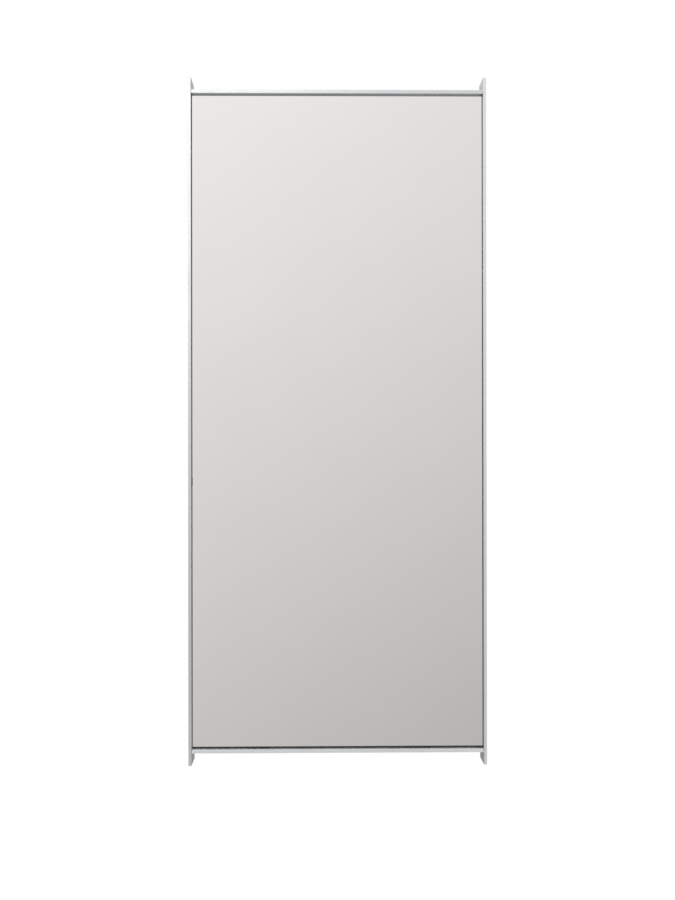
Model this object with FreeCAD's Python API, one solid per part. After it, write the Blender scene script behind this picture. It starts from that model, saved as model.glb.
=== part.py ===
# Wall mirror in a frame of flat aluminium bars, hung on a two part cleat.
# Millimetres. X runs to the right, Y into the wall, Z up. The wall is the plane Y = 0 and the
# front faces -Y. The origin is the middle of the wall screws, on the wall.
import FreeCAD, Part
import math
import os

# Frame, as seen from the front
overall_width = 500.0
overall_height = 1153.0
frame_depth = 50.0
side_bar_thickness = 5.0
rail_thickness = 6.0
bar_overhang = 21.0
rail_end_gap = 0.5
edge_round = 0.4
wall_gap = 2.0

# Glass and the layers behind it
glass_recess = 8.5
glass_thickness = 4.0
glass_side_gap = 1.0
glass_top_gap = 2.0
setting_block_thickness = 3.0
glass_edge_bevel = 0.4
film_thickness = 0.2
film_margin = 2.0
bond_thickness = 1.3
board_thickness = 12.0
tape_width = 25.0
tape_end_margin = 45.0
tape_place_shares = (-0.42, -0.14, 0.14, 0.42)
bead_width = 9.0
bead_end_margin = 70.0
bead_place_shares = (-0.28, 0.0, 0.28)

# Foam and packing in the gap round the panel: the top strip also covers the edge of the glass
foam_setback = 0.4
top_foam_setback = 0.6
setting_block_length = 40.0
setting_block_setback = 0.5
setting_block_place_shares = (-0.28, 0.28)
packer_height = 13.0
packer_proud = 0.6
packer_lap = 0.6
packer_below_middle = 101.0

# Brackets
bracket_thickness = 3.0
bracket_leg = 40.0
bracket_board_leg = 28.0
bracket_width = 30.0
bracket_setback = 4.0
bracket_corner_cut = 12.0
bracket_round = 0.8
bracket_screw_spacing = 16.0
side_bracket_place_shares = (1 / 3, 2 / 3)

# Screws
machine_screw_radius = 2.0
machine_head_radius = 3.8
bar_skin_behind_screw = 1.2
machine_socket_radius = 1.4
machine_socket_depth = 1.4
wood_screw_radius = 1.75
wood_head_radius = 3.4
wood_screw_bite = 8.0
batten_screw_bite = 9.0
cross_length = 4.4
cross_width = 0.9
cross_depth = 1.3
screw_tip_length = 2.5
screw_clearance = 0.05
hole_end_clearance = 0.3

# Battens behind the board
batten_end_clearance = 5.0
batten_height = 70.0
batten_below_bracket = 9.0
batten_above_cleat = 9.0
batten_screw_inset = 45.0
batten_screw_rows_share = 0.3
batten_screw_columns = 4
lower_batten_height = 50.0
lower_batten_above_bracket = 17.0
batten_round = 1.5

# Cleats
cleat_end_inset = 10.0
cleat_thickness = 3.0
cleat_plate_height = 24.0
cleat_shelf_above_screws = 8.0
lip_height = 12.0
lip_wall_clearance = 0.8
lip_side_clearance = 0.3
lip_board_clearance = 0.9
lip_end_clearance = 1.5
cleat_edge_round = 0.6
cleat_screw_count = 5
cleat_screw_inset = 25.0
wall_hole_radius = 2.75
wall_hole_spacing = 120.0
wall_slot_inset = 40.0
wall_slot_length = 14.0

# Rubber bumpers
bumper_radius = 12.0
bumper_edge_round = 1.2
bumper_bore_radius = 2.1
bumper_pocket_radius = 5.0
bumper_pocket_depth = 3.0
bumper_inset = 35.0
bumper_head_radius = 4.0
bumper_head_height = 2.2
bumper_screw_board_clearance = 6.0

# One length by which a cutting shape runs past what it cuts
overrun = 5.0

# Places that follow from the sizes above: first the cleats, which the wall screws set
shelf_top_z = cleat_shelf_above_screws + cleat_thickness
hook_z = shelf_top_z + lip_height
lip_front_y = -(lip_wall_clearance + 2 * cleat_thickness + lip_side_clearance)
batten_back_y = lip_front_y - lip_board_clearance
batten_top_z = hook_z + cleat_plate_height + batten_above_cleat
batten_bottom_z = batten_top_z - batten_height

# The frame, from the hanging batten up and then down
half_width = overall_width / 2
bar_face_x = half_width - side_bar_thickness
rail_end_x = bar_face_x - rail_end_gap
opening_top_z = batten_top_z + batten_below_bracket + bracket_board_leg
bar_top_z = opening_top_z + rail_thickness + bar_overhang
bar_bottom_z = bar_top_z - overall_height
middle_z = (bar_top_z + bar_bottom_z) / 2
opening_bottom_z = bar_bottom_z + bar_overhang + rail_thickness
frame_back_y = -wall_gap
frame_front_y = frame_back_y - frame_depth

# The glass panel, its brackets and its battens
glass_front_y = frame_front_y + glass_recess
glass_back_y = glass_front_y + glass_thickness
film_back_y = glass_back_y + film_thickness
board_front_y = film_back_y + bond_thickness
board_back_y = board_front_y + board_thickness
panel_half_width = bar_face_x - glass_side_gap
panel_top_z = opening_top_z - glass_top_gap
panel_bottom_z = opening_bottom_z + setting_block_thickness
bracket_back_y = frame_back_y - bracket_setback
machine_screw_depth = side_bar_thickness - bar_skin_behind_screw
batten_length = 2 * (bar_face_x - bracket_leg - batten_end_clearance)
cleat_length = batten_length - 2 * cleat_end_inset
lower_batten_bottom_z = opening_bottom_z + bracket_board_leg + lower_batten_above_bracket
lower_batten_top_z = lower_batten_bottom_z + lower_batten_height

along_x = FreeCAD.Vector(1, 0, 0)
along_y = FreeCAD.Vector(0, 1, 0)
along_z = FreeCAD.Vector(0, 0, 1)
levels = {"upper": (opening_top_z, -1), "lower": (opening_bottom_z, 1)}
sides = {"left": -1, "right": 1}


def block(x_ends, y_ends, z_ends):
    """A box between two ends on each axis, given in any order."""
    corner = FreeCAD.Vector(min(x_ends), min(y_ends), min(z_ends))
    size = [abs(ends[1] - ends[0]) for ends in (x_ends, y_ends, z_ends)]
    return Part.makeBox(*size, corner)


def placed(shape, position, direction):
    """The shape with its own +Z turned to the direction and its zero point at the position."""
    copy = shape.copy()
    copy.Placement = FreeCAD.Placement(position, FreeCAD.Rotation(along_z, direction))
    return copy


def rounded(solid, radius, chosen=None):
    """The solid with its edges rounded, or only those that the chosen test picks."""
    edges = [edge for edge in solid.Edges if chosen is None or chosen(edge)]
    return solid.makeFillet(radius, edges)


def runs_along(edge, direction):
    """True for a straight edge that lies along the direction."""
    first, last = edge.Vertexes[0].Point, edge.Vertexes[-1].Point
    way = last.sub(first)
    return way.Length > 0 and abs(way.normalize().dot(direction)) > 1 - Part.Precision.angular()


def cut_all(solid, cutters):
    """The solid with every cutter taken out of it."""
    return solid.cut(Part.makeCompound(cutters)) if cutters else solid


def one_solid(shape):
    """The single solid of a shape that a cut or a fuse left in a compound."""
    return shape.removeSplitter().Solids[0]


# Screws: each is built with the top of its head at zero and its shank along +Z


def shank_and_head(shank_radius, head_radius, length, tip_length):
    """A countersunk screw of 90 degrees with a tapered tip, turned about its axis."""
    head_depth = head_radius - shank_radius
    outline = [
        (0, 0),
        (head_radius, 0),
        (shank_radius, head_depth),
        (shank_radius, length - tip_length),
        (shank_radius / 4, length),
        (0, length),
        (0, 0),
    ]
    wire = Part.makePolygon([FreeCAD.Vector(radius, 0, height) for radius, height in outline])
    return Part.Face(wire).revolve(FreeCAD.Vector(), along_z, 360)


def machine_screw(length):
    """A countersunk machine screw with a hexagon socket."""
    corners = [
        FreeCAD.Vector(
            machine_socket_radius * math.cos(math.radians(60 * i)),
            machine_socket_radius * math.sin(math.radians(60 * i)),
            0,
        )
        for i in range(7)
    ]
    socket = Part.Face(Part.makePolygon(corners)).extrude(along_z * machine_socket_depth)
    body = shank_and_head(
        machine_screw_radius, machine_head_radius, length, machine_screw_radius / 4
    )
    return body.cut(socket)


def wood_screw(length):
    """A countersunk wood screw with a cross recess."""
    body = shank_and_head(wood_screw_radius, wood_head_radius, length, screw_tip_length)
    long_way = (-cross_length / 2, cross_length / 2)
    short_way = (-cross_width / 2, cross_width / 2)
    deep = (0, cross_depth)
    return cut_all(body, [block(long_way, short_way, deep), block(short_way, long_way, deep)])


def countersunk_hole(shank_radius, head_radius, length):
    """The cutting shape of a countersunk screw's hole, with its clearance on every side."""
    hole_radius = shank_radius + screw_clearance
    mouth_radius = head_radius + screw_clearance
    cone_depth = mouth_radius - hole_radius
    deep = length + hole_end_clearance
    cone = Part.makeCone(mouth_radius, hole_radius, cone_depth)
    mouth = Part.makeCylinder(mouth_radius, overrun, FreeCAD.Vector(0, 0, -overrun))
    shaft = Part.makeCylinder(hole_radius, deep)
    return mouth.fuse([cone, shaft])


machine_length = bracket_thickness + machine_screw_depth
wood_length = bracket_thickness + wood_screw_bite
hole_for_machine_screw = countersunk_hole(
    machine_screw_radius, machine_head_radius, machine_length
)
hole_for_wood_screw = countersunk_hole(wood_screw_radius, wood_head_radius, wood_length)


def holes(hole, sites):
    """The cutting shape of a hole at each site, a site being a head's place and the way in."""
    return [placed(hole, place, way) for place, way in sites]


# Where the bracket screws go


def side_bracket_heights():
    """The middle height of each bracket along a side bar."""
    clear_height = opening_top_z - opening_bottom_z
    return [opening_bottom_z + clear_height * share for share in side_bracket_place_shares]


def flange_middle_y():
    """The middle of a bracket's free flange, between the board leg and the flange's back end."""
    return (board_back_y + bracket_thickness + bracket_back_y) / 2


def corner_screw_places():
    """How far the screws of a corner bracket lie from its corner along each leg."""
    far = bracket_leg - machine_head_radius - bracket_thickness
    return [far - bracket_screw_spacing, far]


def bar_screw_sites(side):
    """The machine screws that hold brackets to the side bar of one side."""
    face_x = side * (bar_face_x - bracket_thickness)
    heights = []
    for start_z, inward in levels.values():
        heights += [start_z + inward * place for place in corner_screw_places()]
    for height in side_bracket_heights():
        heights += [height - bracket_screw_spacing / 2, height + bracket_screw_spacing / 2]
    way = along_x * side
    return [(FreeCAD.Vector(face_x, flange_middle_y(), height), way) for height in heights]


def rail_screw_sites(level):
    """The machine screws that hold brackets to the rail of one level."""
    start_z, inward = levels[level]
    face_z = start_z + inward * bracket_thickness
    places = [-bracket_screw_spacing / 2, bracket_screw_spacing / 2]
    for side in sides.values():
        places += [side * (bar_face_x - place) for place in corner_screw_places()]
    way = along_z * -inward
    return [(FreeCAD.Vector(x, flange_middle_y(), face_z), way) for x in places]


def board_screw_sites():
    """The wood screws that hold every bracket to the backing board."""
    head_y = board_back_y + bracket_thickness
    deep = (bracket_board_leg + bracket_thickness) / 2
    half_spacing = bracket_screw_spacing / 2
    places = []
    for start_z, inward in levels.values():
        places += [(step, start_z + inward * deep) for step in (-half_spacing, half_spacing)]
        for side in sides.values():
            far = corner_screw_places()[1]
            near = deep - bracket_thickness
            places += [(side * (bar_face_x - far), start_z + inward * near)]
            places += [(side * (bar_face_x - near), start_z + inward * far)]
    for side in sides.values():
        for height in side_bracket_heights():
            places += [
                (side * (bar_face_x - deep), height + step)
                for step in (-half_spacing, half_spacing)
            ]
    return [(FreeCAD.Vector(x, head_y, z), -along_y) for x, z in places]


# Frame


def side_bar(side):
    """A flat bar on edge that runs past both rails, tapped from inside for its brackets."""
    bar = block(
        (side * half_width, side * bar_face_x),
        (frame_front_y, frame_back_y),
        (bar_bottom_z, bar_top_z),
    )
    return cut_all(
        rounded(bar, edge_round), holes(hole_for_machine_screw, bar_screw_sites(side))
    )


def rail(level):
    """A flat bar that butts between the side bars with a hairline gap at each end."""
    start_z, inward = levels[level]
    bar = block(
        (-rail_end_x, rail_end_x),
        (frame_front_y, frame_back_y),
        (start_z, start_z - inward * rail_thickness),
    )
    bar = rounded(bar, edge_round, lambda edge: runs_along(edge, along_x))
    return cut_all(bar, holes(hole_for_machine_screw, rail_screw_sites(level)))


def corner_bracket(side, level):
    """A pressed bracket with a leg on the bar, a leg on the rail and a cut corner on the board."""
    start_z, inward = levels[level]
    corner_x = side * bar_face_x
    far_x = side * (bar_face_x - bracket_leg)
    far_z = start_z + inward * bracket_leg
    free_y = (board_back_y, bracket_back_y)
    on_bar = block((corner_x, corner_x - side * bracket_thickness), free_y, (start_z, far_z))
    on_rail = block((corner_x, far_x), free_y, (start_z, start_z + inward * bracket_thickness))
    outline = [
        (corner_x, start_z),
        (far_x, start_z),
        (far_x, far_z - inward * bracket_corner_cut),
        (far_x + side * bracket_corner_cut, far_z),
        (corner_x, far_z),
        (corner_x, start_z),
    ]
    wire = Part.makePolygon([FreeCAD.Vector(x, board_back_y, z) for x, z in outline])
    on_board = Part.Face(wire).extrude(along_y * bracket_thickness)
    bracket = rounded(one_solid(on_bar.fuse([on_rail, on_board])), bracket_round)
    sites = bar_screw_sites(side) + rail_screw_sites(level)
    cutters = holes(hole_for_machine_screw, sites)
    cutters += holes(hole_for_wood_screw, board_screw_sites())
    return cut_all(bracket, cutters)


def angle(seat_ends, free_ends, bend_way):
    """An angle bracket's solid with its bend and its ends rounded along the bend."""
    shape = one_solid(seat_ends.fuse(free_ends))
    return rounded(shape, bracket_round, lambda edge: runs_along(edge, bend_way))


def side_bracket(side, height):
    """An angle with one leg on the side bar and the other on the back of the board."""
    z_ends = (height - bracket_width / 2, height + bracket_width / 2)
    corner_x = side * bar_face_x
    free_y = (board_back_y, bracket_back_y)
    on_bar = block((corner_x, corner_x - side * bracket_thickness), free_y, z_ends)
    on_board = block(
        (corner_x, corner_x - side * bracket_board_leg),
        (board_back_y, board_back_y + bracket_thickness),
        z_ends,
    )
    cutters = holes(hole_for_machine_screw, bar_screw_sites(side))
    cutters += holes(hole_for_wood_screw, board_screw_sites())
    return cut_all(angle(on_bar, on_board, along_z), cutters)


def centre_bracket(level):
    """An angle with one leg on a rail's middle and the other on the back of the board."""
    start_z, inward = levels[level]
    x_ends = (-bracket_width / 2, bracket_width / 2)
    free_y = (board_back_y, bracket_back_y)
    on_rail = block(x_ends, free_y, (start_z, start_z + inward * bracket_thickness))
    on_board = block(
        x_ends,
        (board_back_y, board_back_y + bracket_thickness),
        (start_z, start_z + inward * bracket_board_leg),
    )
    cutters = holes(hole_for_machine_screw, rail_screw_sites(level))
    cutters += holes(hole_for_wood_screw, board_screw_sites())
    return cut_all(angle(on_rail, on_board, along_x), cutters)


def screws(screw, sites):
    """One screw at each site, as separate solids in one group."""
    return Part.makeCompound([placed(screw, place, way) for place, way in sites])


# Glass panel


def mirror_glass():
    """The silvered pane, with its edges bevelled by the grinder on both faces."""
    pane = block(
        (-panel_half_width, panel_half_width),
        (glass_front_y, glass_back_y),
        (panel_bottom_z, panel_top_z),
    )
    rim = [edge for edge in pane.Edges if not runs_along(edge, along_y)]
    return pane.makeChamfer(glass_edge_bevel, rim)


def safety_film():
    """The film on the back of the pane, cut a little smaller than the glass."""
    return block(
        (-panel_half_width + film_margin, panel_half_width - film_margin),
        (glass_back_y, film_back_y),
        (panel_bottom_z + film_margin, panel_top_z - film_margin),
    )


def upright_strips(place_shares, width, end_margin):
    """Upright strips between the film and the board."""
    panel_width = 2 * panel_half_width
    strips = []
    for share in place_shares:
        centre_x = share * panel_width
        strips.append(
            block(
                (centre_x - width / 2, centre_x + width / 2),
                (film_back_y, board_front_y),
                (panel_bottom_z + end_margin, panel_top_z - end_margin),
            )
        )
    return Part.makeCompound(strips)


def backing_board():
    """The board that carries the glass, drilled for the bracket and batten screws."""
    board = block(
        (-panel_half_width, panel_half_width),
        (board_front_y, board_back_y),
        (panel_bottom_z, panel_top_z),
    )
    cutters = holes(hole_for_wood_screw, board_screw_sites())
    cutters += holes(hole_for_batten_screw(), batten_screw_sites())
    return cut_all(board, cutters)


def side_foam(side):
    """The foam strip between the panel and a side bar."""
    return block(
        (side * panel_half_width, side * bar_face_x),
        (glass_back_y + foam_setback, board_back_y),
        (opening_bottom_z, opening_top_z),
    )


def end_foam(level):
    """The foam strip between the panel and a rail, which fits between the side strips."""
    start_z, _ = levels[level]
    upper = level == "upper"
    panel_end_z = panel_top_z if upper else panel_bottom_z
    front_y = glass_front_y + top_foam_setback if upper else glass_back_y + foam_setback
    return block(
        (-panel_half_width, panel_half_width), (front_y, board_back_y), (start_z, panel_end_z)
    )


def setting_blocks():
    """The blocks that the lower edge of the glass stands on."""
    panel_width = 2 * panel_half_width
    return Part.makeCompound(
        [
            block(
                (
                    share * panel_width - setting_block_length / 2,
                    share * panel_width + setting_block_length / 2,
                ),
                (glass_front_y + setting_block_setback, glass_back_y),
                (opening_bottom_z, panel_bottom_z),
            )
            for share in setting_block_place_shares
        ]
    )


def side_packer():
    """The packer in the left gap, which stands proud and laps a little over the glass."""
    centre_z = middle_z - packer_below_middle
    z_ends = (centre_z - packer_height / 2, centre_z + packer_height / 2)
    wedge = block(
        (-bar_face_x, -panel_half_width), (glass_front_y - packer_proud, glass_back_y), z_ends
    )
    lip = block(
        (-bar_face_x, -panel_half_width + packer_lap),
        (glass_front_y - packer_proud, glass_front_y),
        z_ends,
    )
    return one_solid(wedge.fuse(lip))


# Battens, cleats and bumpers


def batten_rows():
    """The bottom and the top of the hanging batten and of the lower batten."""
    return [
        (batten_bottom_z, batten_top_z),
        (lower_batten_bottom_z, lower_batten_top_z),
    ]


def batten_thickness():
    """How far the battens stand out from the board to carry the cleat at the wall."""
    return batten_back_y - board_back_y


def batten_screw_sites(rows=None):
    """The wood screws through the battens into the board, in an upper and a lower line."""
    first_x = -batten_length / 2 + batten_screw_inset
    step = -2 * first_x / (batten_screw_columns - 1)
    sites = []
    for bottom_z, top_z in rows or batten_rows():
        centre_z = (bottom_z + top_z) / 2
        apart = (top_z - bottom_z) * batten_screw_rows_share
        for height in (centre_z - apart, centre_z + apart):
            for column in range(batten_screw_columns):
                place = FreeCAD.Vector(first_x + column * step, batten_back_y, height)
                sites.append((place, -along_y))
    return sites


def batten_screw_length():
    """A batten screw goes through the batten and bites into the board."""
    return batten_thickness() + batten_screw_bite


def hole_for_batten_screw():
    """The cutting shape for one screw through a batten."""
    return countersunk_hole(wood_screw_radius, wood_head_radius, batten_screw_length())


def batten(bottom_z, top_z, cutters):
    """A timber batten on the back of the board with its long edges rounded."""
    timber = block(
        (-batten_length / 2, batten_length / 2),
        (board_back_y, batten_back_y),
        (bottom_z, top_z),
    )
    timber = rounded(
        timber,
        batten_round,
        lambda edge: runs_along(edge, along_x) and edge.CenterOfMass.y > board_back_y,
    )
    cutters = cutters + holes(hole_for_batten_screw(), batten_screw_sites([(bottom_z, top_z)]))
    return cut_all(timber, cutters)


def z_profile(outline, rounding):
    """A cleat of constant section, extruded along X from an outline in Y and Z."""
    start_x = -cleat_length / 2
    points = [FreeCAD.Vector(start_x, y, z) for y, z in outline + outline[:1]]
    solid = Part.Face(Part.makePolygon(points)).extrude(along_x * cleat_length)
    return rounded(solid, rounding, lambda edge: runs_along(edge, along_x))


def wall_cleat():
    """The cleat that is screwed to the wall: a plate, a shelf and an upstanding lip."""
    lip_back_y = lip_front_y + cleat_thickness
    shelf_bottom_z = shelf_top_z - cleat_thickness
    plate_bottom_z = shelf_top_z - cleat_plate_height
    cleat = z_profile(
        [
            (0, plate_bottom_z),
            (-cleat_thickness, plate_bottom_z),
            (-cleat_thickness, shelf_bottom_z),
            (lip_front_y, shelf_bottom_z),
            (lip_front_y, hook_z),
            (lip_back_y, hook_z),
            (lip_back_y, shelf_top_z),
            (0, shelf_top_z),
        ],
        cleat_edge_round,
    )
    through = (-cleat_thickness - overrun, overrun)
    cutters = []
    for side in sides.values():
        hole_start = FreeCAD.Vector(side * wall_hole_spacing / 2, through[0], 0)
        reach = through[1] - through[0]
        cutters.append(Part.makeCylinder(wall_hole_radius, reach, hole_start, along_y))
        half_straight = wall_slot_length / 2 - wall_hole_radius
        slot_x = side * (cleat_length / 2 - wall_slot_inset)
        slot = block(
            (slot_x - half_straight, slot_x + half_straight),
            through,
            (-wall_hole_radius, wall_hole_radius),
        )
        for end in (-half_straight, half_straight):
            end_start = FreeCAD.Vector(slot_x + end, through[0], 0)
            slot = slot.fuse(
                Part.makeCylinder(wall_hole_radius, reach, end_start, along_y)
            )
        cutters.append(slot.removeSplitter())
    return cut_all(cleat, cutters)


def cleat_screw_sites():
    """The wood screws through the frame cleat's plate into the hanging batten."""
    first_x = -cleat_length / 2 + cleat_screw_inset
    step = -2 * first_x / (cleat_screw_count - 1)
    plate_low_z = hook_z + cleat_thickness
    plate_high_z = hook_z + cleat_plate_height
    height = (plate_low_z + plate_high_z) / 2
    head_y = batten_back_y + cleat_thickness
    return [
        (FreeCAD.Vector(first_x + i * step, head_y, height), -along_y)
        for i in range(cleat_screw_count)
    ]


def cleat_screw_length():
    """A cleat screw goes through the plate and stops inside the batten."""
    return cleat_thickness + batten_thickness() - screw_tip_length


def hole_for_cleat_screw():
    """The cutting shape for one screw through the frame cleat."""
    return countersunk_hole(wood_screw_radius, wood_head_radius, cleat_screw_length())


def frame_cleat():
    """The cleat on the batten: its lip hangs down behind the lip of the wall cleat."""
    lip_bottom_z = shelf_top_z + lip_end_clearance
    shelf_above_z = hook_z + cleat_thickness
    plate_top_z = hook_z + cleat_plate_height
    lip_y = (-lip_wall_clearance - cleat_thickness, -lip_wall_clearance)
    cleat = z_profile(
        [
            (batten_back_y, plate_top_z),
            (batten_back_y, hook_z),
            (lip_y[0], hook_z),
            (lip_y[0], lip_bottom_z),
            (lip_y[1], lip_bottom_z),
            (lip_y[1], shelf_above_z),
            (batten_back_y + cleat_thickness, shelf_above_z),
            (batten_back_y + cleat_thickness, plate_top_z),
        ],
        cleat_edge_round,
    )
    return cut_all(cleat, holes(hole_for_cleat_screw(), cleat_screw_sites()))


def bumper_place(side):
    """The middle of a bumper where it meets the lower batten."""
    x = side * (batten_length / 2 - bumper_inset)
    return FreeCAD.Vector(x, batten_back_y, (lower_batten_bottom_z + lower_batten_top_z) / 2)


def bumper(side):
    """A rubber buffer that keeps the foot of the mirror off the wall, with a pocket for a screw."""
    thick = -batten_back_y
    body = Part.makeCylinder(bumper_radius, thick)
    body = rounded(body, bumper_edge_round, lambda edge: edge.CenterOfMass.z > thick / 2)
    pocket_floor = thick - bumper_pocket_depth
    bore = Part.makeCylinder(bumper_bore_radius, thick)
    pocket = Part.makeCylinder(
        bumper_pocket_radius, bumper_pocket_depth, FreeCAD.Vector(0, 0, pocket_floor)
    )
    return placed(body.cut([bore, pocket]), bumper_place(side), along_y)


def bumper_screw_bite():
    """How far a bumper screw goes into the lower batten, short of the board."""
    return batten_thickness() - bumper_screw_board_clearance


def bumper_screw(side):
    """A pan head screw that sits in the bumper's pocket and bites into the batten."""
    seat = -batten_back_y - bumper_pocket_depth
    length = seat + bumper_screw_bite()
    head = Part.makeCylinder(bumper_head_radius, bumper_head_height)
    head = rounded(
        head, bumper_head_height / 3, lambda edge: edge.CenterOfMass.z > bumper_head_height / 2
    )
    shank = Part.makeCylinder(wood_screw_radius, length, FreeCAD.Vector(0, 0, -length))
    long_way = (-cross_length / 2, cross_length / 2)
    short_way = (-cross_width / 2, cross_width / 2)
    deep = (bumper_head_height - cross_depth, bumper_head_height)
    screw = head.fuse(shank).removeSplitter()
    screw = cut_all(screw, [block(long_way, short_way, deep), block(short_way, long_way, deep)])
    return placed(screw, bumper_place(side) + along_y * seat, along_y)


def hole_for_bumper_screw(side):
    """The cutting shape of the bumper screw's hole in the lower batten."""
    radius = wood_screw_radius + screw_clearance
    deep = bumper_screw_bite() + hole_end_clearance
    start = bumper_place(side) + along_y * overrun
    return Part.makeCylinder(radius, deep + overrun, start, -along_y)


# The assembly


def assembly():
    """Every node of the mirror by its name."""
    nodes = {
        "left_side_bar": side_bar(-1),
        "right_side_bar": side_bar(1),
        "top_rail": rail("upper"),
        "bottom_rail": rail("lower"),
        "mirror_glass": mirror_glass(),
        "safety_backing_film": safety_film(),
        "mounting_tape_strips": upright_strips(tape_place_shares, tape_width, tape_end_margin),
        "adhesive_beads": upright_strips(bead_place_shares, bead_width, bead_end_margin),
        "backing_board": backing_board(),
        "left_foam_strip": side_foam(-1),
        "right_foam_strip": side_foam(1),
        "top_foam_strip": end_foam("upper"),
        "bottom_foam_strip": end_foam("lower"),
        "setting_blocks": setting_blocks(),
        "left_side_packer": side_packer(),
        "top_centre_bracket": centre_bracket("upper"),
        "bottom_centre_bracket": centre_bracket("lower"),
    }
    for side_name, side in sides.items():
        for level in levels:
            nodes[f"{level}_{side_name}_corner_bracket"] = corner_bracket(side, level)
        for level, height in zip(("lower", "upper"), side_bracket_heights()):
            nodes[f"{level}_{side_name}_side_bracket"] = side_bracket(side, height)
        nodes[f"{side_name}_bumper"] = bumper(side)
        nodes[f"{side_name}_bumper_screw"] = bumper_screw(side)
        nodes[f"{side_name}_bar_screws"] = screws(
            machine_screw(machine_length), bar_screw_sites(side)
        )
    for rail_name, level in (("top", "upper"), ("bottom", "lower")):
        nodes[f"{rail_name}_rail_screws"] = screws(
            machine_screw(machine_length), rail_screw_sites(level)
        )
    nodes["board_screws"] = screws(wood_screw(wood_length), board_screw_sites())
    upper_row, lower_row = batten_rows()
    cleat_holes = holes(hole_for_cleat_screw(), cleat_screw_sites())
    bumper_holes = [hole_for_bumper_screw(side) for side in sides.values()]
    batten_screw = wood_screw(batten_screw_length())
    nodes["hanging_batten"] = batten(*upper_row, cleat_holes)
    nodes["lower_batten"] = batten(*lower_row, bumper_holes)
    nodes["hanging_batten_screws"] = screws(batten_screw, batten_screw_sites([upper_row]))
    nodes["lower_batten_screws"] = screws(batten_screw, batten_screw_sites([lower_row]))
    nodes["frame_cleat"] = frame_cleat()
    nodes["frame_cleat_screws"] = screws(
        wood_screw(cleat_screw_length()), cleat_screw_sites()
    )
    nodes["wall_cleat"] = wall_cleat()
    return nodes


os.makedirs("parts", exist_ok=True)
for node_name, node_shape in assembly().items():
    node_shape.exportStep(f"parts/{node_name}.step")
    print(node_name, len(node_shape.Solids), round(node_shape.Volume, 1), node_shape.isValid())
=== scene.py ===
import math

import bpy
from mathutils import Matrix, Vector


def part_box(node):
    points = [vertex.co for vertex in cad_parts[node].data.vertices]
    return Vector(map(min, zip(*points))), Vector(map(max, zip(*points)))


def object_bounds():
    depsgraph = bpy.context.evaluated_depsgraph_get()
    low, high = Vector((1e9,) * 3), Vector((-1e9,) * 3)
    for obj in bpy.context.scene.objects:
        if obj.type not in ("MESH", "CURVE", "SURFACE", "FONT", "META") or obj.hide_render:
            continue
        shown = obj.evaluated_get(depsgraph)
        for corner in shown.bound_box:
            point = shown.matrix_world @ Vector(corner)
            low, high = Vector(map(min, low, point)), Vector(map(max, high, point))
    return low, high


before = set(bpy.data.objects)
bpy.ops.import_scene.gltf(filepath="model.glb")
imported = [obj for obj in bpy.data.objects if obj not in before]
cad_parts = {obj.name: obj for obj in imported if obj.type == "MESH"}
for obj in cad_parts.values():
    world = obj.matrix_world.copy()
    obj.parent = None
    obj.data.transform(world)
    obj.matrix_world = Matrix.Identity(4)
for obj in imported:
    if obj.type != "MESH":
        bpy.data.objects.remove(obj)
cad_box = [list(corner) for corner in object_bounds()]

# The side bars and rails are flat aluminium bars, 50 mm deep, sawn square and set on edge.
# The mill draws them through a die, which leaves fine lines along the bar, and a clear satin
# anodised layer then seals the metal. The rails butt between the side bars.


def linear(hex_colour):
    """The linear colour that Blender's sockets take, from an sRGB hex value."""
    shares = [int(hex_colour[i : i + 2], 16) / 255 for i in (1, 3, 5)]
    return [((s + 0.055) / 1.055) ** 2.4 if s > 0.04045 else s / 12.92 for s in shares] + [1.0]


def add(tree, kind, settings=(), links=()):
    """A new node of that kind, with its settings or socket values, and what feeds its sockets."""
    node = tree.nodes.new("ShaderNode" + kind)
    for name, value in dict(settings).items():
        if isinstance(name, str) and hasattr(node, name):
            setattr(node, name, value)
        else:
            node.inputs[name].default_value = value
    for name, source in dict(links).items():
        tree.links.new(source, node.inputs[name])
    return node


def finish(name):
    """An empty material of that name, with its node tree and its output node."""
    material = bpy.data.materials.new(name)
    material.use_nodes = True
    material.node_tree.nodes.clear()
    return material, material.node_tree, add(material.node_tree, "OutputMaterial")


def dress(material, *nodes):
    """Gives CAD nodes one material all over."""
    for node in nodes:
        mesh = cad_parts[node].data
        mesh.materials.clear()
        mesh.materials.append(material)


def per_metre(*millimetres):
    """How many times a pattern of that size repeats in a metre, on each axis."""
    return [1000 / length for length in millimetres]


# Satin clear anodised aluminium: a metal with a soft, wide highlight. The die lines run with the
# bar, show as faint streaks in brightness and gloss, and spread reflections across themselves.
# They are drawn 1.2 mm wide, about three times the real width, because finer ones would vanish.
DIE_LINE_WIDTH_MM = 1.2
DIE_LINE_LENGTH_MM = 260
DIE_LINE_RELIEF_MM = 0.02
DIE_LINE_GLOSS_CHANGE = 0.035
DIE_LINE_SPREAD = 0.68
HANDLING_MARK_MM = 70
ETCH_GRAIN_MM = 0.35
ETCH_RELIEF_MM = 0.01
ALONG_X = 0
ALONG_Z = 2


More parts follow.
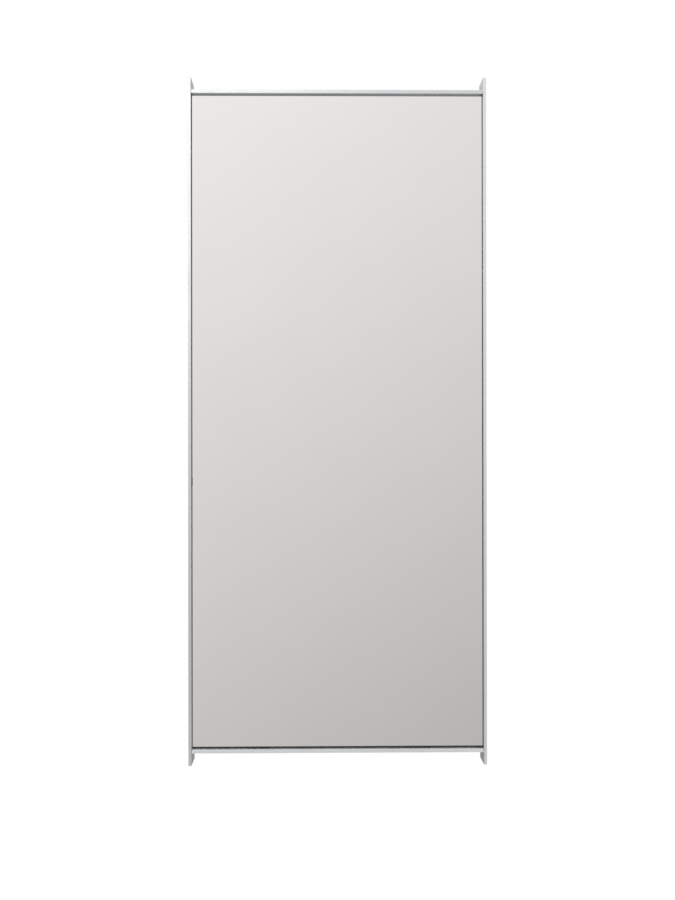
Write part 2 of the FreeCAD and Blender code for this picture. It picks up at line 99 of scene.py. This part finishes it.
def drawn_aluminium(name, line_axis, dark, light, least_roughness, most_roughness):
    """Drawn aluminium whose die lines run along the given axis, ALONG_X or ALONG_Z."""
    material, tree, output = finish(name)
    place = add(tree, "TexCoord").outputs["Object"]
    line_size = [DIE_LINE_WIDTH_MM] * 3
    line_size[line_axis] = DIE_LINE_LENGTH_MM
    stretched = add(tree, "Mapping", {"Scale": per_metre(*line_size)}, {"Vector": place})
    lines = add(
        tree,
        "TexNoise",
        {"Scale": 1.0, "Detail": 3.0, "Roughness": 0.6},
        {"Vector": stretched.outputs["Vector"]},
    )
    marks = add(
        tree,
        "TexNoise",
        {"Scale": per_metre(HANDLING_MARK_MM)[0], "Detail": 4.0, "Roughness": 0.55},
        {"Vector": place},
    )
    etch = add(
        tree,
        "TexNoise",
        {"Scale": per_metre(ETCH_GRAIN_MM)[0], "Detail": 1.0},
        {"Vector": place},
    )
    colour = add(
        tree,
        "MixRGB",
        {"Color1": linear(dark), "Color2": linear(light)},
        {"Fac": lines.outputs["Fac"]},
    )
    gloss = add(
        tree,
        "MapRange",
        {
            "From Min": 0.25,
            "From Max": 0.75,
            "To Min": least_roughness,
            "To Max": most_roughness,
        },
        {"Value": marks.outputs["Fac"]},
    )
    streaked = add(
        tree,
        "MapRange",
        {
            "From Min": 0.3,
            "From Max": 0.7,
            "To Min": -DIE_LINE_GLOSS_CHANGE,
            "To Max": DIE_LINE_GLOSS_CHANGE,
        },
        {"Value": lines.outputs["Fac"]},
    )
    roughness = add(
        tree,
        "Math",
        {"operation": "ADD"},
        {0: gloss.outputs["Result"], 1: streaked.outputs["Result"]},
    )
    grooves = add(
        tree,
        "Bump",
        {"Strength": 0.25, "Distance": DIE_LINE_RELIEF_MM / 1000},
        {"Height": lines.outputs["Fac"]},
    )
    grain = add(
        tree,
        "Bump",
        {"Strength": 0.18, "Distance": ETCH_RELIEF_MM / 1000},
        {"Height": etch.outputs["Fac"], "Normal": grooves.outputs["Normal"]},
    )
    round_the_bar = add(
        tree, "Tangent", {"direction_type": "RADIAL", "axis": "XYZ"[line_axis]}
    )
    surface = add(
        tree,
        "BsdfPrincipled",
        {"Metallic": 1.0, "Anisotropic": DIE_LINE_SPREAD},
        {
            "Base Color": colour.outputs["Color"],
            "Roughness": roughness.outputs["Value"],
            "Normal": grain.outputs["Normal"],
            "Tangent": round_the_bar.outputs["Tangent"],
        },
    )
    tree.links.new(surface.outputs["BSDF"], output.inputs["Surface"])
    return material


anodised = {
    "dark": "#D9DBDC",
    "light": "#E3E5E7",
    "least_roughness": 0.32,
    "most_roughness": 0.44,
}
upright_bar = drawn_aluminium("anodised_aluminium_upright", ALONG_Z, **anodised)
level_bar = drawn_aluminium("anodised_aluminium_level", ALONG_X, **anodised)
dress(upright_bar, "left_side_bar", "right_side_bar")
dress(level_bar, "top_rail", "bottom_rail")

# The mirror is one pane of 4 mm float glass, silvered on its back, with ground edges and a narrow
# polished bevel on both faces. It stands on two blocks and is glued to the board behind it.

# Silvered glass: a near perfect mirror, very slightly warm here, with the faint dull haze that
# wiping leaves. The haze is patchy over about 120 mm.
WIPE_HAZE_MM = 120
silver, silver_tree, silver_output = finish("silvered_float_glass")
silver_place = add(silver_tree, "TexCoord").outputs["Object"]
haze = add(
    silver_tree,
    "TexNoise",
    {"Scale": per_metre(WIPE_HAZE_MM)[0], "Detail": 5.0, "Roughness": 0.6, "Distortion": 0.4},
    {"Vector": silver_place},
)
haze_roughness = add(
    silver_tree,
    "MapRange",
    {"From Min": 0.45, "From Max": 0.8, "To Min": 0.004, "To Max": 0.03},
    {"Value": haze.outputs["Fac"]},
)
silver_colour = add(
    silver_tree,
    "MixRGB",
    {"Color1": linear("#F4F1EF"), "Color2": linear("#F0EEEC")},
    {"Fac": haze.outputs["Fac"]},
)
silver_surface = add(
    silver_tree,
    "BsdfPrincipled",
    {"Metallic": 1.0},
    {"Base Color": silver_colour.outputs["Color"], "Roughness": haze_roughness.outputs["Result"]},
)
silver_tree.links.new(silver_surface.outputs["BSDF"], silver_output.inputs["Surface"])

# Ground glass edge: float glass is green when seen edge on, and the grinding wheel leaves it
# matt, with fine marks along the edge.
GRINDING_MARK_MM = 0.8
edge, edge_tree, edge_output = finish("ground_float_glass_edge")
edge_place = add(edge_tree, "TexCoord").outputs["Object"]
grinding = add(
    edge_tree,
    "TexNoise",
    {"Scale": per_metre(GRINDING_MARK_MM)[0], "Detail": 2.0},
    {"Vector": edge_place},
)
edge_colour = add(
    edge_tree,
    "MixRGB",
    {"Color1": linear("#3F5F55"), "Color2": linear("#5E8276")},
    {"Fac": grinding.outputs["Fac"]},
)
edge_surface = add(
    edge_tree,
    "BsdfPrincipled",
    {"Roughness": 0.35, "IOR": 1.52},
    {"Base Color": edge_colour.outputs["Color"]},
)
edge_tree.links.new(edge_surface.outputs["BSDF"], edge_output.inputs["Surface"])

# Faces that look to the front or the back are silvered, and the ones round the rim are ground.
dress(silver, "mirror_glass")
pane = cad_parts["mirror_glass"].data
pane.materials.append(edge)
SILVERED_SLOT = 0
GROUND_SLOT = 1
for polygon in pane.polygons:
    looks_forward_or_back = abs(polygon.normal.y) > 0.5
    polygon.material_index = SILVERED_SLOT if looks_forward_or_back else GROUND_SLOT

# A grey polyethylene safety film is stuck on the back of the pane, 2 mm short of its edges. It
# holds the pieces together if the glass should break.

# Polyethylene film: grey and half matt, with the small bubbles and ripples of a film that is
# rolled on by hand.
FILM_RIPPLE_MM = 18
FILM_RELIEF_MM = 0.2
film, film_tree, film_output = finish("grey_polyethylene_film")
film_place = add(film_tree, "TexCoord").outputs["Object"]
ripple = add(
    film_tree,
    "TexNoise",
    {"Scale": per_metre(FILM_RIPPLE_MM)[0], "Detail": 3.0},
    {"Vector": film_place},
)
film_colour = add(
    film_tree,
    "MixRGB",
    {"Color1": linear("#6B7073"), "Color2": linear("#7A7F82")},
    {"Fac": ripple.outputs["Fac"]},
)
film_bump = add(
    film_tree,
    "Bump",
    {"Strength": 0.3, "Distance": FILM_RELIEF_MM / 1000},
    {"Height": ripple.outputs["Fac"]},
)
film_surface = add(
    film_tree,
    "BsdfPrincipled",
    {"Roughness": 0.45, "IOR": 1.51},
    {"Base Color": film_colour.outputs["Color"], "Normal": film_bump.outputs["Normal"]},
)
film_tree.links.new(film_surface.outputs["BSDF"], film_output.inputs["Surface"])
dress(film, "safety_backing_film")

# Strips of black polyethylene foam tape hold the pane to its board, and beads of mirror adhesive
# between them carry it for good. Both lie between the film and the board.

# Polyethylene foam: charcoal black, matt and finely pitted where it is cut.
FOAM_CELL_MM = 0.6
FOAM_PIT_MM = 0.15
FOAM_ROUGHNESS = 0.85


def matt_polymer(name, dark, light, grain_mm, roughness, relief_mm):
    """A matt polymer in two close shades, with a fine raised grain of that size."""
    material, tree, output = finish(name)
    place = add(tree, "TexCoord").outputs["Object"]
    grain = add(
        tree,
        "TexNoise",
        {"Scale": per_metre(grain_mm)[0], "Detail": 3.0, "Roughness": 0.6},
        {"Vector": place},
    )
    colour = add(
        tree,
        "MixRGB",
        {"Color1": linear(dark), "Color2": linear(light)},
        {"Fac": grain.outputs["Fac"]},
    )
    relief = add(
        tree,
        "Bump",
        {"Strength": 0.5, "Distance": relief_mm / 1000},
        {"Height": grain.outputs["Fac"]},
    )
    surface = add(
        tree,
        "BsdfPrincipled",
        {"Roughness": roughness, "IOR": 1.5},
        {"Base Color": colour.outputs["Color"], "Normal": relief.outputs["Normal"]},
    )
    tree.links.new(surface.outputs["BSDF"], output.inputs["Surface"])
    return material


black_foam = matt_polymer(
    "black_polyethylene_foam", "#3E3F41", "#525355", FOAM_CELL_MM, FOAM_ROUGHNESS, FOAM_PIT_MM
)
dress(black_foam, "mounting_tape_strips")

# Neutral silicone adhesive: milky white, smooth and half glossy, a little uneven along the bead.
BEAD_RIPPLE_MM = 11
silicone, silicone_tree, silicone_output = finish("neutral_silicone")
silicone_place = add(silicone_tree, "TexCoord").outputs["Object"]
bead = add(
    silicone_tree,
    "TexNoise",
    {"Scale": per_metre(BEAD_RIPPLE_MM)[0], "Detail": 2.0},
    {"Vector": silicone_place},
)
silicone_colour = add(
    silicone_tree,
    "MixRGB",
    {"Color1": linear("#C9C8C2"), "Color2": linear("#DAD9D3")},
    {"Fac": bead.outputs["Fac"]},
)
silicone_surface = add(
    silicone_tree,
    "BsdfPrincipled",
    {"Roughness": 0.35, "IOR": 1.41},
    {"Base Color": silicone_colour.outputs["Color"]},
)
silicone_tree.links.new(silicone_surface.outputs["BSDF"], silicone_output.inputs["Surface"])
dress(silicone, "adhesive_beads")

# The backing board is 12 mm fibreboard, sawn to the size of the pane and sealed with a thin
# clear coat. All brackets and both battens are screwed to it.

# Sealed fibreboard: an even warm brown with fine pale and dark flecks of fibre, and broad faint
# clouds where the sealer soaked in. The flecks are drawn 2.2 mm long, twice the real size.
FIBRE_FLECK_MM = 2.2
FIBRE_RELIEF_MM = 0.1
SEALER_CLOUD_MM = 90
board, board_tree, board_output = finish("sealed_fibreboard")
board_place = add(board_tree, "TexCoord").outputs["Object"]
fleck = add(
    board_tree,
    "TexNoise",
    {"Scale": per_metre(FIBRE_FLECK_MM)[0], "Detail": 4.0, "Roughness": 0.7},
    {"Vector": board_place},
)
cloud = add(
    board_tree,
    "TexNoise",
    {"Scale": per_metre(SEALER_CLOUD_MM)[0], "Detail": 3.0},
    {"Vector": board_place},
)
fleck_colour = add(
    board_tree,
    "MixRGB",
    {"Color1": linear("#8E6F4C"), "Color2": linear("#B8966C")},
    {"Fac": fleck.outputs["Fac"]},
)
cloud_colour = add(
    board_tree,
    "MixRGB",
    {"Color1": linear("#DCD6CE"), "Color2": linear("#FFFFFF")},
    {"Fac": cloud.outputs["Fac"]},
)
board_colour = add(
    board_tree,
    "MixRGB",
    {"blend_type": "MULTIPLY", "Fac": 1.0},
    {"Color1": fleck_colour.outputs["Color"], "Color2": cloud_colour.outputs["Color"]},
)
board_roughness = add(
    board_tree,
    "MapRange",
    {"From Min": 0.3, "From Max": 0.7, "To Min": 0.5, "To Max": 0.68},
    {"Value": cloud.outputs["Fac"]},
)
board_bump = add(
    board_tree,
    "Bump",
    {"Strength": 0.3, "Distance": FIBRE_RELIEF_MM / 1000},
    {"Height": fleck.outputs["Fac"]},
)
board_surface = add(
    board_tree,
    "BsdfPrincipled",
    {"IOR": 1.5},
    {
        "Base Color": board_colour.outputs["Color"],
        "Roughness": board_roughness.outputs["Result"],
        "Normal": board_bump.outputs["Normal"],
    },
)
board_tree.links.new(board_surface.outputs["BSDF"], board_output.inputs["Surface"])
dress(board, "backing_board")

# Foam strips fill the gap round the panel and centre it: black at the sides and below, and above,
# where the strip also covers the edge of the glass, a lighter grey that is painted light, standing
# for light that reaches into the top gap. The glass stands on two blocks of black rubber, and one
# plastic packer shows in the left gap.

# The same polyethylene foam as the tape's, in black, and in a mid grey painted lighter to stand
# for the light that reaches into the top gap.
foam_painted_lighter_for_top_gap = matt_polymer(
    "polyethylene_foam_painted_light", "#86888A", "#9A9C9E", FOAM_CELL_MM, FOAM_ROUGHNESS, FOAM_PIT_MM
)
dress(black_foam, "left_foam_strip", "right_foam_strip", "bottom_foam_strip")
# The top strip takes the painted lighter grey, which stands for light in the top gap.
dress(foam_painted_lighter_for_top_gap, "top_foam_strip")

# Moulded rubber: near black and matt, with a soft grain. The packer is polypropylene, a shade
# smoother.
RUBBER_GRAIN_MM = 0.5
RUBBER_RELIEF_MM = 0.05
rubber = matt_polymer(
    "black_moulded_rubber",
    "#141415",
    "#202021",
    RUBBER_GRAIN_MM,
    roughness=0.6,
    relief_mm=RUBBER_RELIEF_MM,
)
dress(rubber, "setting_blocks")
PLASTIC_GRAIN_MM = 0.3
PLASTIC_RELIEF_MM = 0.02
polypropylene = matt_polymer(
    "black_polypropylene",
    "#0F0F10",
    "#18181A",
    PLASTIC_GRAIN_MM,
    roughness=0.45,
    relief_mm=PLASTIC_RELIEF_MM,
)
dress(polypropylene, "left_side_packer")

# The brackets are pressed from 3 mm steel and zinc plated. Corner brackets have three legs, the
# others two; each is screwed to the frame and to the board.

# Bright zinc plate: a pale, slightly blue metal with cloudy crystals about 6 mm wide and a
# half dull gloss.
ZINC_CLOUD_MM = 6
ZINC_GRAIN_MM = 0.4
ZINC_RELIEF_MM = 0.02


def zinc_plate(name, dark, light):
    """Zinc plated steel in two close shades, with cloudy crystals and a fine grain."""
    material, tree, output = finish(name)
    place = add(tree, "TexCoord").outputs["Object"]
    crystals = add(
        tree,
        "TexVoronoi",
        {"Scale": per_metre(ZINC_CLOUD_MM)[0], "Randomness": 1.0},
        {"Vector": place},
    )
    grain = add(
        tree,
        "TexNoise",
        {"Scale": per_metre(ZINC_GRAIN_MM)[0], "Detail": 2.0},
        {"Vector": place},
    )
    colour = add(
        tree,
        "MixRGB",
        {"Color1": linear(dark), "Color2": linear(light)},
        {"Fac": crystals.outputs["Color"]},
    )
    roughness = add(
        tree,
        "MapRange",
        {"To Min": 0.3, "To Max": 0.46},
        {"Value": crystals.outputs["Color"]},
    )
    relief = add(
        tree,
        "Bump",
        {"Strength": 0.3, "Distance": ZINC_RELIEF_MM / 1000},
        {"Height": grain.outputs["Fac"]},
    )
    surface = add(
        tree,
        "BsdfPrincipled",
        {"Metallic": 1.0},
        {
            "Base Color": colour.outputs["Color"],
            "Roughness": roughness.outputs["Result"],
            "Normal": relief.outputs["Normal"],
        },
    )
    tree.links.new(surface.outputs["BSDF"], output.inputs["Surface"])
    return material


bracket_names = [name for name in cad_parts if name.endswith("_bracket")]
dress(zinc_plate("zinc_plated_bracket_steel", "#BCC1C6", "#D6D9DC"), *bracket_names)

# Machine screws fix the brackets to the bars, and wood screws fix everything to the timber. All
# are zinc plated, and a shade yellower than the brackets.
screw_names = [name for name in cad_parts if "screw" in name]
dress(zinc_plate("zinc_plated_screw_steel", "#B8B7AE", "#D8D6CC"), *screw_names)

# Two battens of 18 mm birch plywood lie across the back of the board. The upper one carries the
# cleat, the lower one the bumpers. Their long edges are sanded round.

# Birch plywood: pale straw wood with long soft grain on its faces, and on its edges the pale and
# dark lines of the plies. They are drawn 1.8 mm thick, a little more than the real 1.4 mm, with a
# pale ply outermost.
GRAIN_WIDTH_MM = 3.5
GRAIN_LENGTH_MM = 130
GRAIN_RELIEF_MM = 0.1
PLY_MM = 1.8
ply, ply_tree, ply_output = finish("birch_plywood")
ply_place = add(ply_tree, "TexCoord").outputs["Object"]
grain_place = add(
    ply_tree,
    "Mapping",
    {"Scale": per_metre(GRAIN_LENGTH_MM, GRAIN_WIDTH_MM, GRAIN_WIDTH_MM)},
    {"Vector": ply_place},
)
wood_grain = add(
    ply_tree,
    "TexNoise",
    {"Scale": 1.0, "Detail": 5.0, "Roughness": 0.6, "Distortion": 0.6},
    {"Vector": grain_place.outputs["Vector"]},
)
back_face_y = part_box("lower_batten")[1][1]
from_back_face = add(
    ply_tree,
    "Mapping",
    {"Location": (0, -back_face_y, 0)},
    {"Vector": ply_place},
)

# The wave texture turns through this many radians for each length of its scale, and a pale ply
# with the dark one behind it is one full turn.
WAVE_RADIANS = 20
plies = add(
    ply_tree,
    "TexWave",
    {
        "bands_direction": "Y",
        "Scale": per_metre(2 * PLY_MM)[0] * 2 * math.pi / WAVE_RADIANS,
        "Distortion": 0.15,
        "Detail": 1.0,
        "Detail Scale": 0.5,
    },
    {"Vector": from_back_face.outputs["Vector"]},
)
ply_step = add(
    ply_tree, "MapRange", {"From Min": 0.35, "From Max": 0.65}, {"Value": plies.outputs["Fac"]}
)
grain_colour = add(
    ply_tree,
    "MixRGB",
    {"Color1": linear("#C39F6E"), "Color2": linear("#E2C799")},
    {"Fac": wood_grain.outputs["Fac"]},
)
ply_shade = add(
    ply_tree,
    "MixRGB",
    {"Color1": linear("#FFFFFF"), "Color2": linear("#B49C7C")},
    {"Fac": ply_step.outputs["Result"]},
)
ply_colour = add(
    ply_tree,
    "MixRGB",
    {"blend_type": "MULTIPLY", "Fac": 1.0},
    {"Color1": grain_colour.outputs["Color"], "Color2": ply_shade.outputs["Color"]},
)
ply_bump = add(
    ply_tree,
    "Bump",
    {"Strength": 0.35, "Distance": GRAIN_RELIEF_MM / 1000},
    {"Height": wood_grain.outputs["Fac"]},
)
ply_surface = add(
    ply_tree,
    "BsdfPrincipled",
    {"Roughness": 0.6, "IOR": 1.5},
    {"Base Color": ply_colour.outputs["Color"], "Normal": ply_bump.outputs["Normal"]},
)
ply_tree.links.new(ply_surface.outputs["BSDF"], ply_output.inputs["Surface"])
dress(ply, "hanging_batten", "lower_batten")

# The mirror hangs on a pair of extruded aluminium cleats. One is screwed to the wall, and the
# other, screwed to the upper batten, hooks down behind it.

# Mill finish aluminium: bare, a shade darker and duller than the bars, with extrusion lines along
# the cleat.
cleat_metal = drawn_aluminium(
    "mill_finish_aluminium",
    ALONG_X,
    dark="#CACDD0",
    light="#DEE0E2",
    least_roughness=0.34,
    most_roughness=0.5,
)
dress(cleat_metal, "frame_cleat", "wall_cleat")

# Two moulded rubber bumpers keep the foot of the mirror off the wall. Each is fixed to the lower
# batten by a screw whose head sits in a pocket.

# Moulded rubber again: greyer and a little smoother than the blocks under the glass.
bumper_rubber = matt_polymer(
    "grey_moulded_rubber",
    "#232425",
    "#323334",
    RUBBER_GRAIN_MM,
    roughness=0.55,
    relief_mm=RUBBER_RELIEF_MM,
)
dress(bumper_rubber, "left_bumper", "right_bumper")

# The floor is a flat, pale, round platform. It isn't part of the object, and the mirror hangs
# well clear of it.
FLOOR_DROP_M = 0.75
FLOOR_RADIUS_M = 2.4
FLOOR_SIDES = 96
lowest = min(corner[2] for corner in cad_box)
rim = [
    Vector((math.cos(2 * math.pi * i / FLOOR_SIDES), math.sin(2 * math.pi * i / FLOOR_SIDES), 0))
    for i in range(FLOOR_SIDES)
]
floor_mesh = bpy.data.meshes.new("floor")
floor_mesh.from_pydata([point * FLOOR_RADIUS_M for point in rim], [], [list(range(FLOOR_SIDES))])
floor = bpy.data.objects.new("floor", floor_mesh)
floor.location = (0, 0, lowest - FLOOR_DROP_M)
bpy.context.scene.collection.objects.link(floor)

# White studio floor: it reads as white to the camera but keeps the shadow. In the glass and the
# metal it is a plain pale floor that fades into the room towards its rim.
FLOOR_LIFT = 0.36
FLOOR_FADE_START_M = 1.2
floor_paint, floor_tree, floor_output = finish("white_studio_floor")
floor_rays = add(floor_tree, "LightPath")
floor_lift = add(
    floor_tree,
    "Math",
    {"operation": "MULTIPLY", 1: FLOOR_LIFT},
    {0: floor_rays.outputs["Is Camera Ray"]},
)
floor_white = add(floor_tree, "BsdfDiffuse", {"Color": linear("#EDEDED")})
floor_glow = add(
    floor_tree,
    "Emission",
    {"Color": linear("#FFFFFF")},
    {"Strength": floor_lift.outputs["Value"]},
)
floor_seen = add(
    floor_tree,
    "AddShader",
    {},
    {0: floor_white.outputs["BSDF"], 1: floor_glow.outputs["Emission"]},
)
floor_place = add(floor_tree, "TexCoord").outputs["Object"]
from_middle = add(floor_tree, "VectorMath", {"operation": "LENGTH"}, {0: floor_place})
floor_fade = add(
    floor_tree,
    "MapRange",
    {
        "interpolation_type": "SMOOTHSTEP",
        "From Min": FLOOR_FADE_START_M,
        "From Max": FLOOR_RADIUS_M,
    },
    {"Value": from_middle.outputs["Value"]},
)
floor_pale = add(floor_tree, "Emission", {"Color": linear("#FEFDFC"), "Strength": 1.0})
floor_gone = add(floor_tree, "BsdfTransparent")
floor_reflected = add(
    floor_tree,
    "MixShader",
    {},
    {
        0: floor_fade.outputs["Result"],
        1: floor_pale.outputs["Emission"],
        2: floor_gone.outputs["BSDF"],
    },
)
floor_mirrored = add(
    floor_tree,
    "Math",
    {"operation": "MAXIMUM"},
    {0: floor_rays.outputs["Is Glossy Ray"], 1: floor_rays.outputs["Is Transmission Ray"]},
)
floor_surface = add(
    floor_tree,
    "MixShader",
    {},
    {
        0: floor_mirrored.outputs["Value"],
        1: floor_seen.outputs["Shader"],
        2: floor_reflected.outputs["Shader"],
    },
)
floor_tree.links.new(floor_surface.outputs["Shader"], floor_output.inputs["Surface"])
floor_mesh.materials.append(floor_paint)

# The room isn't part of the object either. The camera sees plain white behind the mirror, the
# object gets plain even light, and glass and metal mirror a soft grey studio, lightest high on the
# left, as in the photograph.
world = bpy.data.worlds.new("studio")
bpy.context.scene.world = world
world.use_nodes = True
room = world.node_tree
room.nodes.clear()
room_output = add(room, "OutputWorld")
rays = add(room, "LightPath")

# What glass and metal mirror: a middle level, and how much it changes to the right, to the back and
# up. Wide soft glows come on top, and it all stays between ROOM_LEAST and white.
ROOM_LEVEL = 0.567
ROOM_SLOPE = (-0.40, -0.163, 0.63)
ROOM_LEAST = 0.16
WHITE = 1.0
towards = add(room, "TexCoord").outputs["Generated"]
room_slope = add(
    room, "VectorMath", {"operation": "DOT_PRODUCT", 1: ROOM_SLOPE}, {0: towards}
)
room_light = add(
    room,
    "Math",
    {"operation": "ADD", 1: ROOM_LEVEL},
    {0: room_slope.outputs["Value"]},
).outputs["Value"]


# The inner part of a glow, as a share of its spread, that has its full strength.
GLOW_CORE = 0.4


def soft_glow(before, bearing, rise, spread, strength):
    """The light before, with a glow round a direction: degrees to the right of front, and up."""
    turn = math.radians(bearing)
    lift = math.radians(rise)
    middle = (
        math.sin(turn) * math.cos(lift),
        -math.cos(turn) * math.cos(lift),
        math.sin(lift),
    )
    near = add(room, "VectorMath", {"operation": "DOT_PRODUCT", 1: middle}, {0: towards})
    glow = add(
        room,
        "MapRange",
        {
            "interpolation_type": "SMOOTHSTEP",
            "From Min": math.cos(math.radians(spread)),
            "From Max": math.cos(math.radians(spread * GLOW_CORE)),
            "To Max": strength,
        },
        {"Value": near.outputs["Value"]},
    )
    total = add(room, "Math", {"operation": "ADD"}, {0: before, 1: glow.outputs["Result"]})
    return total.outputs["Value"]


# A low glow on the right, a high one on the left, and the dark half of the studio on the left.
room_light = soft_glow(room_light, bearing=80, rise=-34, spread=50, strength=0.26)
room_light = soft_glow(room_light, bearing=-79, rise=72, spread=49, strength=0.57)
room_light = soft_glow(room_light, bearing=-97, rise=-24, spread=85, strength=-0.63)

# Two pale walls, a little behind the mirror, which the outer sides of the bars mirror.
room_light = soft_glow(room_light, bearing=116, rise=-5, spread=40, strength=0.30)
room_light = soft_glow(room_light, bearing=-116, rise=-5, spread=40, strength=0.32)

bounded = add(
    room,
    "MapRange",
    {"From Min": ROOM_LEAST, "From Max": WHITE, "To Min": ROOM_LEAST, "To Max": WHITE},
    {"Value": room_light},
)
room_seen = add(
    room, "Background", {"Color": linear("#FFFFFF")}, {"Strength": bounded.outputs["Result"]}
)
EVEN_LIGHT = 0.95
even_light = add(room, "Background", {"Color": linear("#FFFFFF"), "Strength": EVEN_LIGHT})
white_back = add(room, "Background", {"Color": linear("#FFFFFF"), "Strength": WHITE})
mirrored = add(
    room,
    "Math",
    {"operation": "MAXIMUM"},
    {0: rays.outputs["Is Glossy Ray"], 1: rays.outputs["Is Transmission Ray"]},
)
lit_or_mirrored = add(
    room,
    "MixShader",
    {},
    {
        0: mirrored.outputs["Value"],
        1: even_light.outputs["Background"],
        2: room_seen.outputs["Background"],
    },
)
whole_room = add(
    room,
    "MixShader",
    {},
    {
        0: rays.outputs["Is Camera Ray"],
        1: lit_or_mirrored.outputs["Shader"],
        2: white_back.outputs["Background"],
    },
)
room.links.new(whole_room.outputs["Shader"], room_output.inputs["Surface"])

# Two square soft lamps stand in front: the main one high on the left, a weaker one low on the
# right. They give the bars their highlights, but the glass shows the room alone.
target = Vector((0, 0, sum(corner[2] for corner in cad_box) / 2))
unseen = bpy.data.collections.new("lamps_unseen_in_the_glass")
unseen.objects.link(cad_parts["mirror_glass"])
unseen.collection_objects[0].light_linking.link_state = "EXCLUDE"


def lamp(name, place, size, watts):
    """A square soft lamp that points at the middle of the mirror and that the glass doesn't show."""
    light = bpy.data.lights.new(name, "AREA")
    light.size = size
    light.energy = watts
    stand = bpy.data.objects.new(name, light)
    stand.location = place
    stand.light_linking.receiver_collection = unseen
    stand.rotation_euler = (target - Vector(place)).to_track_quat("-Z", "Y").to_euler()
    bpy.context.scene.collection.objects.link(stand)


lamp("main_lamp", place=(-0.97, -1.89, 0.76), size=1.9, watts=10.2)
lamp("fill_lamp", place=(1.5, -1.87, -1.0), size=1.9, watts=6.2)

# The camera stands about level with the middle of the mirror, 2 m in front of it and a little to
# its left, with the lens that gives the photograph's perspective.
CAMERA_PLACE_M = (-0.0272, -2.0618, -0.5088)
CAMERA_TURN_DEGREES = (90.111, 0.077, -0.772)
SENSOR_HEIGHT_MM = 36
LENS_MM = 48
camera = bpy.data.objects.new("camera", bpy.data.cameras.new("camera"))
bpy.context.scene.collection.objects.link(camera)
camera.location = CAMERA_PLACE_M
camera.rotation_euler = [math.radians(degrees) for degrees in CAMERA_TURN_DEGREES]
camera.data.sensor_fit = "VERTICAL"
camera.data.sensor_height = SENSOR_HEIGHT_MM
camera.data.lens = LENS_MM
bpy.context.scene.camera = camera

bpy.context.scene.view_settings.view_transform = "Standard"
